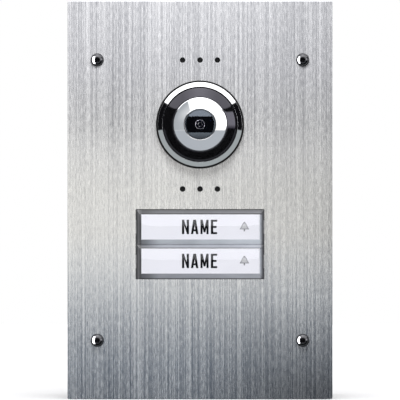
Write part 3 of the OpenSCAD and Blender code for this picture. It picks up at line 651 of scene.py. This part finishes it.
verts, faces = [], []
for x, z in screw_places:
    v, f = button_head(x, z, washer_low.y)
    faces += [tuple(i + len(verts) for i in face) for face in f]
    verts += v
screws = new_mesh("button_head_screws", verts, faces, SHADED_SCREW_CHROME, 36)
ride_for(screws, "panel", "screw_steel", "plate_screws")

# ---------------------------------------------------------------- camera eye

window_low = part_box("camera_window")[0]
g0, g1 = (corner.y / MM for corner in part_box("camera_gasket"))
GASKET_R, GASKET_IN, HOLE_R, BEZEL_IN = 19.95, 17.72, 17.5, 16.0
ride_for(lathe("eye_gasket",
               [(GASKET_IN, g1, 0), (GASKET_R, g1, 0.1), (GASKET_R, g0 + 0.25, 0.25), (19.5, g0, 0.1),
                (GASKET_IN, g0, 0)],
               eye, RUBBER), "panel", "black_rubber", "camera_gasket")

BEZEL_R, STEP_R, LENS_R, WINDOW_R, DOME_R = 19.1, 17.0, 12.1, 6.9, 38.0
peak, back = (corner.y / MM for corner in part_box("camera_bezel"))


def dome(r):
    """Depth of the shared sphere at a radius, from the window's own front."""
    return window_low.y / MM + DOME_R - math.sqrt(DOME_R ** 2 - r * r)


ride_for(lathe("eye_outer_ring",
               [(BEZEL_IN, back, 0), (HOLE_R, back, 0.2), (HOLE_R, g0, 0), (BEZEL_R, g0, 0.1),
                (BEZEL_R, peak + 1.95, 0.08), (STEP_R + 0.06, peak + 0.02, 0.07), (STEP_R, peak + 0.1, 0.05),
                (STEP_R, -5.0, 0), (BEZEL_IN, -5.0, 0)],
               eye, CHROME), "panel", "ring_chrome", "camera_bezel")

ring_front = [(STEP_R - 0.05, peak + 0.75, 0), (STEP_R - 0.3, peak + 0.45, 0.12)]
for i in range(1, 8):
    t = i / 8
    r = STEP_R + (LENS_R - STEP_R) * t
    chord = peak + (dome(LENS_R) - peak) * t
    ring_front.append((r, chord - 0.16 * math.sin(math.pi * t) + 0.3 * (1 - t) + 0.12 * t, 0))
ring_front.append((LENS_R + 0.05, dome(LENS_R) + 0.2, 0.1))
ride_for(lathe("eye_black_ring",
               [(STEP_R - 0.05, -5.05, 0)] + ring_front +
               [(LENS_R + 0.05, dome(LENS_R) + 2, 0), (14.9, peak + 1, 0), (15.6, peak + 2, 0),
                (15.6, -5.05, 0)],
               eye, GLOSS), "panel", "gloss_black", "ir_cover_ring")

shoulder = dome(LENS_R) + 1.5
inner = [(LENS_R, shoulder, 0), (LENS_R, dome(LENS_R) + 0.02, 0.14)]
for i in range(1, 12):
    r = LENS_R + (WINDOW_R - LENS_R) * i / 12
    inner.append((r, dome(r), 0))
inner.append((WINDOW_R, dome(WINDOW_R) + 0.01, 0.14))
ride_for(lathe("eye_inner_ring",
               inner + [(WINDOW_R, -11.05, 0), (7.8, -11.05, 0), (7.8, -3.55, 0), (9.3, -3.55, 0),
                        (9.3, shoulder, 0)], eye, CHROME), "panel", "ring_chrome", "lens_bezel")

GLASS_R, GLASS_BACK = WINDOW_R - 0.06, dome(0) + 1.4
glass = [(0.0, GLASS_BACK, 0), (6.7, GLASS_BACK, 0), (GLASS_R, dome(WINDOW_R) + 0.3, 0)]
for i in range(15):
    r = GLASS_R * (1 - i / 14)
    glass.append((r, dome(r) + 0.05, 0.06 if i == 0 else 0))
ride_for(lathe("eye_window", glass, eye, GLASS, closed=False), "panel", "window_dark", "camera_window")

b0, b1 = (corner.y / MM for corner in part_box("lens_barrel"))
steps = [(4.0, b1, 0), (4.0, b0 + 3.0, 0), (2.2, b0 + 3.0, 0), (2.2, b0 + 1.2, 0.05), (2.6, b0 + 1.0, 0.05)]
for i in range(6):
    steps += [(2.7 + 0.45 * i, b0 + 0.85 - 0.12 * i, 0.03), (2.95 + 0.45 * i, b0 + 0.75 - 0.12 * i, 0.03)]
steps += [(5.6, b0 + 0.15, 0.05), (5.8, b0, 0.1), (6.55, b0, 0.15), (6.6, b0 + 3.4, 0.1),
          (6.0, b0 + 3.8, 0), (6.0, b1, 0)]
ride_for(lathe("eye_lens_barrel", steps, eye, LENS_BLACK, 96), "panel", "black_plastic", "lens_barrel")
l0, l1 = (corner.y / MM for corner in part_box("lens_glass"))
front = [(2.15 * (1 - i / 10), l0 + 0.62 * (1 - i / 10) ** 2, 0) for i in range(11)]
RIM_H, RIM_SLOPE = 0.75, 0.12
rims = []
for label, r0, r1, y in (("eye_lens_outer_rim", 1.85, 2.25, l0 - 0.12),
                         ("eye_lens_inner_rim", 0.75, 1.05, l0 - 0.02)):
    shape = [(r0, y + RIM_H, 0), (r0, y + RIM_SLOPE, 0.05), ((r0 + r1) / 2, y, 0.1), (r1, y + RIM_SLOPE, 0.05),
             (r1, y + RIM_H, 0)]
    rims.append(lathe(label, shape, eye, RIM, 96))
    ride_for(rims[-1], "panel", "lens_glass")
ride_for(lathe("eye_lens", [(0.0, l1, 0), (2.15, l1, 0.05)] + front, eye, LENS_COAT, 96, closed=False),
         "panel", "lens_glass", "lens_glass")

# ---------------------------------------------------------------- name buttons


def grid(half):
    """Positions from -half to half: fine steps near both ends, coarse ones between."""
    edge, fine, coarse = 2.4, 24, 24
    inner = half - edge
    first = [-half + edge * i / fine for i in range(fine)]
    last = [half - edge * (fine - 1 - i) / fine for i in range(fine)]
    return first + [-inner + 2 * inner * i / coarse for i in range(coarse + 1)] + last


# widths of the grey margin at the left, the right, and each cover's head and foot
LEFT_RIM, RIGHT_RIM = 2.55, 1.8
RIMS = {"upper": (2.08, 2.08), "lower": (1.78, 2.38)}


def cover(name, low, high, pocket_low, pocket_high, head_rim, foot_rim):
    """Bevelled clear cover with a low ridge along its middle and a pocket behind, in the CAD cover's space."""
    half_w, half_h = (high.x - low.x) / 2 / MM, (high.z - low.z) / 2 / MM
    rim_x, rise, ridge_rise, low_drop, corner = 2.0, 1.2, 0.7, 0.36, 0.12
    edge_y = low.y / MM + rise + ridge_rise
    xs, zs = grid(half_w), grid(half_h)

    def height(x, z):
        from_side, from_end = half_w - abs(x), half_h - abs(z)
        drop, rim_z = (ridge_rise, head_rim) if z > 0 else (low_drop, foot_rim)
        near = math.sqrt(z * z + 0.01) - 0.1
        body = rise + ridge_rise - drop * min(1.0, near / (half_h - rim_z))
        side = (rise + 0.25) * from_side / rim_x + max(0.0, from_side - rim_x) * 0.2
        end = (rise + ridge_rise - drop) * from_end / rim_z
        plain = min(side, end, body) if from_end < rim_z else min(side, body)
        if min(from_side, from_end) < corner:
            inward = 1 - min(from_side, from_end) / corner
            plain -= 0.1 * (1 - math.sqrt(max(0.0, 1 - inward ** 2)))
        return plain

    faces = []
    cx, cz = (low.x + high.x) / 2, (low.z + high.z) / 2
    verts = [(cx + x * MM, (edge_y - height(x, z)) * MM, cz + z * MM) for z in zs for x in xs]
    nx, nz = len(xs), len(zs)
    for j in range(nz - 1):
        for i in range(nx - 1):
            faces.append((j * nx + i, j * nx + i + 1, (j + 1) * nx + i + 1, (j + 1) * nx + i))
    border = ([i for i in range(nx)] + [j * nx + nx - 1 for j in range(1, nz)]
              + [(nz - 1) * nx + i for i in range(nx - 2, -1, -1)] + [j * nx for j in range(nz - 2, 0, -1)])
    loops, slack, floor_gap = [border], 0.05 * MM, 0.03 * MM
    for depth, inset in ((high.y, False), (high.y, True), (pocket_low.y - floor_gap, True)):
        first = len(verts)
        for b in border:
            x, y, z = verts[b]
            if inset:
                x = min(max(x, pocket_low.x - slack), pocket_high.x + slack)
                z = min(max(z, pocket_low.z - slack), pocket_high.z + slack)
            verts.append((x, depth, z))
        loops.append([first + k for k in range(len(border))])
    for outer, inner in zip(loops, loops[1:]):
        for k in range(len(border)):
            n = (k + 1) % len(border)
            faces.append((outer[k], inner[k], inner[n], outer[n]))
    faces.append(tuple(loops[-1]))
    obj = new_mesh(name, verts, faces, CLEAR, 20)
    obj.data.materials.append(PAINTED_EDGE)
    obj.data.materials.append(INSIDE)
    pocket_wall, window = 1, 2
    behind_front, before_back = low.y + 0.0021, high.y - 0.0002
    for p in obj.data.polygons:
        x, y, z = (p.center.x - cx) / MM, p.center.y, (p.center.z - cz) / MM
        in_window = LEFT_RIM - half_w <= x <= half_w - RIGHT_RIM and foot_rim - half_h < z < half_h - head_rim
        if y > behind_front:
            flat = abs(p.normal.y) > 0.9 and y < before_back
            p.material_index = window if flat else pocket_wall
        elif not in_window:
            p.material_index = pocket_wall
    obj.visible_shadow = False
    obj.visible_diffuse = False
    return obj


def slanted(x_top, x_bottom, z_top, z_bottom, w):
    return [(x_bottom - w / 2, z_bottom), (x_bottom + w / 2, z_bottom),
            (x_top + w / 2, z_top), (x_top - w / 2, z_top)]


def block_shape(x0, x1, z0, z1):
    return [(x0, z0), (x1, z0), (x1, z1), (x0, z1)]


def placeholder_word(height, stem):
    """The word NAME in condensed capitals, as shapes about the word's left end and base line."""
    letter_n, letter_a, letter_m, letter_e = 3.2, 3.4, 3.65, 2.85
    x, w = 0.0, letter_n
    shapes = [block_shape(x, x + stem, 0, height), block_shape(x + w - stem, x + w, 0, height),
              slanted(x + stem / 2, x + w - stem / 2, height, 0, stem * 0.7)]
    x += w + 0.85
    w = letter_a
    shapes += [slanted(x + w / 2 - 0.1, x + stem / 2, height, 0, stem),
               slanted(x + w / 2 + 0.1, x + w - stem / 2, height, 0, stem),
               block_shape(x + w * 0.26, x + w * 0.74, height * 0.2, height * 0.2 + stem * 0.8)]
    x += w + 0.95
    w = letter_m
    shapes += [block_shape(x, x + stem * 0.9, 0, height), block_shape(x + w - stem * 0.9, x + w, 0, height),
               slanted(x + stem / 2, x + w / 2, height, height * 0.12, stem * 0.8),
               slanted(x + w - stem / 2, x + w / 2, height, height * 0.12, stem * 0.8)]
    x += w + 1.05
    w = letter_e
    bar = stem * 0.85
    shapes += [block_shape(x, x + stem, 0, height), block_shape(x, x + w, 0, bar),
               block_shape(x, x + w, height - bar, height),
               block_shape(x, x + w * 0.9, height / 2 - bar / 2, height / 2 + bar / 2)]
    return shapes, x + w


BELL_SIDE = [(0.35, 1.7), (0.85, 1.35), (1.15, 0.8), (1.35, 0.0), (2.0, -0.85)]


def bell_body():
    """The filled shape of a small bell, about its own middle."""
    return [[(-x, z) for x, z in BELL_SIDE] + [(x, z) for x, z in reversed(BELL_SIDE)]]


def bell_lines():
    """The bell's outline, its knob, its foot bar and its clapper."""
    line = 0.26
    inner = [(x - line, z - line * 0.5) for x, z in BELL_SIDE]
    right = BELL_SIDE + inner[::-1]
    left = [(-x, z) for x, z in right][::-1]
    return [left, right, block_shape(-0.4, 0.4, 1.5, 2.15), block_shape(-2.1, 2.1, -1.2, -0.85),
            block_shape(-0.32, 0.32, -2.1, -1.2)]


INK_H, INK_STEP = 0.02, 0.0004


def print_on(name, shapes, left, base, y, material, body):
    """Thin ink shapes lying on a label; each next shape lies a hair further forward."""
    verts, faces = [], []
    for k, shape in enumerate(shapes):
        first = len(verts)
        count = len(shape)
        for depth in (y, y - (INK_H + INK_STEP * k) * MM):
            verts += [(left + px * MM, depth, base + pz * MM) for px, pz in shape]
        faces.append(tuple(range(first + count, first + 2 * count)))
        faces += [(first + i, first + (i + 1) % count, first + count + (i + 1) % count, first + count + i)
                  for i in range(count)]
    mesh = bpy.data.meshes.new(name)
    mesh.from_pydata(verts, [], faces)
    obj = link(name, mesh)
    mesh.materials.append(material)
    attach(obj, body)
    return obj


def coil(name, centres, y_front, y_back, radius, wire, turns, material):
    """Compression springs with closed ends, as smooth tubes."""
    sides, per_turn, closed_end = 12, 40, 0.12
    count = turns * per_turn
    verts, faces = [], []
    for c in centres:
        base = len(verts)
        for i in range(count + 1):
            t = i / count
            a = 2 * math.pi * turns * t
            eased = min(1.0, max(0.0, (t - closed_end) / (1 - 2 * closed_end)))
            y = y_front + wire + (y_back - y_front - 2 * wire) * eased
            for k in range(sides):
                b = 2 * math.pi * k / sides
                r = radius + wire * math.cos(b)
                verts.append(((c.x + r * math.cos(a)), y + wire * math.sin(b), c.z + r * math.sin(a)))
        for i in range(count):
            for k in range(sides):
                n = (k + 1) % sides
                here, after = base + i * sides, base + (i + 1) * sides
                faces.append((here + k, after + k, after + n, here + n))
        faces.append(tuple(base + k for k in range(sides)))
        faces.append(tuple(base + count * sides + k for k in reversed(range(sides))))
    return new_mesh(name, verts, faces, material, 60, weighted=False)


STEM, LETTER_H, WORD_SHIFT = 1.05, 6.5, -0.2
BELL_RIGHT, BELL_UP, BELL_LINES_OUT = 20.1, 0.1, 0.022
INSERT_CORNER, INSERT_EDGE = 0.25, 0.03
COIL_TURNS, COIL_GAP = 6, 0.02
for which in ("upper", "lower"):
    body = which + "_button"
    low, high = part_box(which + "_cap")
    label_low, label_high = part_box(which + "_label")
    head_rim, foot_rim = RIMS[which]
    ride_for(cover(which + "_cover", low, high, label_low, label_high, head_rim, foot_rim),
             body, "clear_cap", which + "_cap")
    label_outline = rounded_box(label_low.x, label_low.z, label_high.x, label_high.z, INSERT_CORNER * MM)
    sheet = flat_part(which + "_insert", [label_outline], label_low.y, label_high.y, INSERT_EDGE * MM, LABEL)
    ride_for(sheet, body, "label_film", which + "_label")
    centre = (label_low + label_high) / 2
    middle_z = centre.z + (foot_rim - head_rim) / 2 * MM
    shapes, width = placeholder_word(LETTER_H, STEM)
    print_on(which + "_word", shapes, centre.x + (WORD_SHIFT - width / 2) * MM, middle_z - LETTER_H / 2 * MM,
             label_low.y, INK, body)
    bell_x, bell_z = centre.x + BELL_RIGHT * MM, middle_z + BELL_UP * MM
    print_on(which + "_bell", bell_body(), bell_x, bell_z, label_low.y, INK_PALE, body)
    print_on(which + "_bell_lines", bell_lines(), bell_x, bell_z, label_low.y - BELL_LINES_OUT * MM,
             INK_GREY, body)
    s_low, s_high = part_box(which + "_springs")
    r_out = (s_high.z - s_low.z) / 2
    centres = [Vector((s_low.x + r_out, 0, centre.z)), Vector((s_high.x - r_out, 0, centre.z))]
    wire = 0.25 * MM
    spring = coil(which + "_coils", centres, s_low.y, s_high.y, r_out - wire - COIL_GAP * MM, wire,
                  COIL_TURNS, SPRING)
    ride_for(spring, body, "spring_steel", which + "_springs")
    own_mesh(spring)

# ---------------------------------------------------------------- edges of the other CAD nodes

for node, width in (("flush_box", 0.0003), ("rear_cover", 0.0003), ("chassis", 0.0003), ("button_tray", 0.0002),
                    ("terminal_block", 0.0002), ("door_relay", 0.0003), ("camera_nut", 0.0002),
                    ("upper_carrier", 0.0002), ("lower_carrier", 0.0002)):
    soften(node, width)

# ---------------------------------------------------------------- stage, light and camera

floor_mesh = bpy.data.meshes.new("floor")
FLOOR_R, FLOOR_SIDES, FLOOR_GAP = 0.9, 96, 0.0002
ring = [(x, y, cad_low.z - FLOOR_GAP) for x, y in circle(0.0, 0.0, FLOOR_R, FLOOR_SIDES)]
floor_mesh.from_pydata(ring, [], [tuple(range(FLOOR_SIDES))])
floor = link("floor", floor_mesh)
floor_mesh.materials.append(surface("floor_paint", (0.86, 0.86, 0.86), 0.7, patch=0.01, rough_spread=0.05,
                                    grain=0.002, bump=0.05))
floor.visible_glossy = False

world = bpy.data.worlds.new("studio")
scene.world = world
world.use_nodes = True
wt = Nodes(world.node_tree)
world.node_tree.nodes.clear()
direction = wt.add("ShaderNodeSeparateXYZ")
wt.put(direction.inputs[0], wt.add("ShaderNodeTexCoord").outputs["Generated"])
dx, dy, dz = direction.outputs


def step(value, at, width, rising=True):
    a, b = (0.0, 1.0) if rising else (1.0, 0.0)
    return wt.remap(value, at - width / 2, at + width / 2, a, b, smooth=True)


def over(base, mask, colour):
    return wt.mix(mask, base, colour)


# what the pieces mirror, by direction: the ring that looks nearly straight out, the front, the sides, the top
GREY_LOW = (0.36, 0.39, 0.40, 1)
FLOOR_LINE, GAP_LOW, GAP_HIGH, FRONT_CONE, NEAR_CONE = -0.12, -0.18, 0.21, -0.72, -0.937
front = step(dy, FRONT_CONE, 0.02, False)
low = step(dz, FLOOR_LINE, 0.03, False)
not_low = step(dz, FLOOR_LINE, 0.03)
left = step(wt.math("ADD", dx, wt.times(dz, 0.227)), -0.156, 0.012, False)
sideways = wt.math("ABSOLUTE", dx)
sky = over((0.005, 0.005, 0.006, 1), wt.times(low, step(dy, -0.30, 0.1)), GREY_LOW)
top_edge = wt.math("ADD", wt.times(dy, 0.18), 0.555)
above = wt.math("SUBTRACT", dz, top_edge)
top_box = wt.mix(wt.remap(sideways, 0.08, 0.45), (2.75, 2.75, 2.78, 1), (1.8, 1.8, 1.82, 1))
sky = over(sky, step(above, 0.0, 0.04), top_box)
side_panel = wt.times(step(dx, 0.3, 0.05), step(dy, -0.30, 0.05, False), step(dz, -0.10, 0.03),
                      step(dz, 0.36, 0.05, False))
side_glow = wt.mix(wt.remap(dz, -0.09, 0.02), (0.22, 0.21, 0.29, 1), (2.6, 2.6, 2.7, 1))
sky = over(sky, side_panel, side_glow)
sky = over(sky, wt.times(front, low), (0.455, 0.485, 0.525, 1))
sky = over(sky, wt.times(front, not_low), (1.25, 1.25, 1.25, 1))
inward = wt.remap(dy, -0.93, -0.82, 1.0, 0.0)
left_glow = wt.mix(inward, (0.42, 0.445, 0.47, 1), (0.48, 0.51, 0.54, 1))
raised = wt.times(inward, wt.remap(dz, 0.05, 0.27))
left_glow = wt.mix(raised, left_glow, (0.76, 0.77, 0.80, 1))
sky = over(sky, wt.times(front, not_low, left), left_glow)
near = step(dy, NEAR_CONE, 0.006, False)
gap = wt.times(near, step(dz, GAP_LOW, 0.02), step(dz, GAP_HIGH, 0.02, False))
sky = over(sky, gap, (0.02, 0.02, 0.025, 1))
sky = over(sky, wt.times(near, step(dz, GAP_HIGH, 0.015)), (2.2, 2.2, 2.3, 1))
low_glow = wt.mix(wt.remap(dz, -0.34, -0.20), (0.34, 0.34, 0.36, 1), (1.1, 1.12, 1.15, 1))
sky = over(sky, wt.times(near, step(dz, GAP_LOW, 0.015, False)), low_glow)
path = wt.add("ShaderNodeLightPath")
sky = wt.mix(path.outputs["Is Camera Ray"], sky, (1.0, 1.0, 1.0, 1))
background = wt.add("ShaderNodeBackground")
wt.put(background.inputs["Color"], sky)
background.inputs["Strength"].default_value = 1.0
world_out = wt.add("ShaderNodeOutputWorld")
wt.put(world_out.inputs["Surface"], background.outputs[0])


def area(name, place, target, w, h, power, colour=(1, 1, 1), receivers=()):
    light = bpy.data.lights.new(name, "AREA")
    light.shape = "RECTANGLE"
    light.size, light.size_y = w, h
    light.energy = power
    light.color = colour
    obj = link(name, light)
    obj.location = place
    obj.rotation_mode = "QUATERNION"
    obj.rotation_quaternion = (Vector(target) - Vector(place)).to_track_quat("-Z", "Y")
    obj.visible_camera = False
    if receivers:
        group = bpy.data.collections.new(name + "_receivers")
        for r in receivers:
            group.objects.link(r)
        obj.light_linking.receiver_collection = group
    return obj


WARM = (1.0, 0.985, 0.96)
PANEL_W, PANEL_X, PANEL_Y = 0.40, -0.13, -0.42
# a tall soft box in strips (lower end, upper end, strength) that fade out towards the bottom
for low_z, high_z, strength in (
        (0.035, 0.135, 0.75), (0.0, 0.035, 2.95), (-0.044, 0.0, 3.6), (-0.058, -0.044, 2.6),
        (-0.070, -0.058, 1.75), (-0.082, -0.070, 1.15), (-0.096, -0.082, 0.65), (-0.112, -0.096, 0.25)):
    mid_z, tall = (low_z + high_z) / 2, high_z - low_z
    area("plate_panel", (PANEL_X, PANEL_Y, mid_z), (PANEL_X, 0.0, mid_z), PANEL_W, tall,
         strength * PANEL_W * tall, WARM, [plate])
key = area("plate_key", (-0.004, -0.12, 0.19), (0.0, 0.0, 0.03), 0.10, 0.06, 2.9, receivers=[plate])
key.visible_glossy = False
area("screw_light", (-0.6, -0.35, 0.0), (0.0, 0.0, 0.0), 0.55, 1.4, 95.0, receivers=[screws])
area("lens_light", (-0.1, -0.3, 0.15), eye, 0.3, 0.3, 30.0, receivers=rims)

DISTANCE, VIEW_W, SENSOR_W, CAMERA_RISE = 1.5, 0.18115, 36, 0.00005
camera_data = bpy.data.cameras.new("camera")
camera = link("camera", camera_data)
scene.camera = camera
camera.location = (0.0, plate_low.y - DISTANCE, CAMERA_RISE)
camera.rotation_euler = (math.radians(90), 0, 0)
camera_data.sensor_width = SENSOR_W
camera_data.lens = DISTANCE * SENSOR_W / VIEW_W
camera_data.clip_start, camera_data.clip_end = 0.05, 20

scene.view_settings.view_transform = "Standard"
scene.view_settings.look = "None"
scene.view_settings.exposure = 0
scene.view_settings.gamma = 1
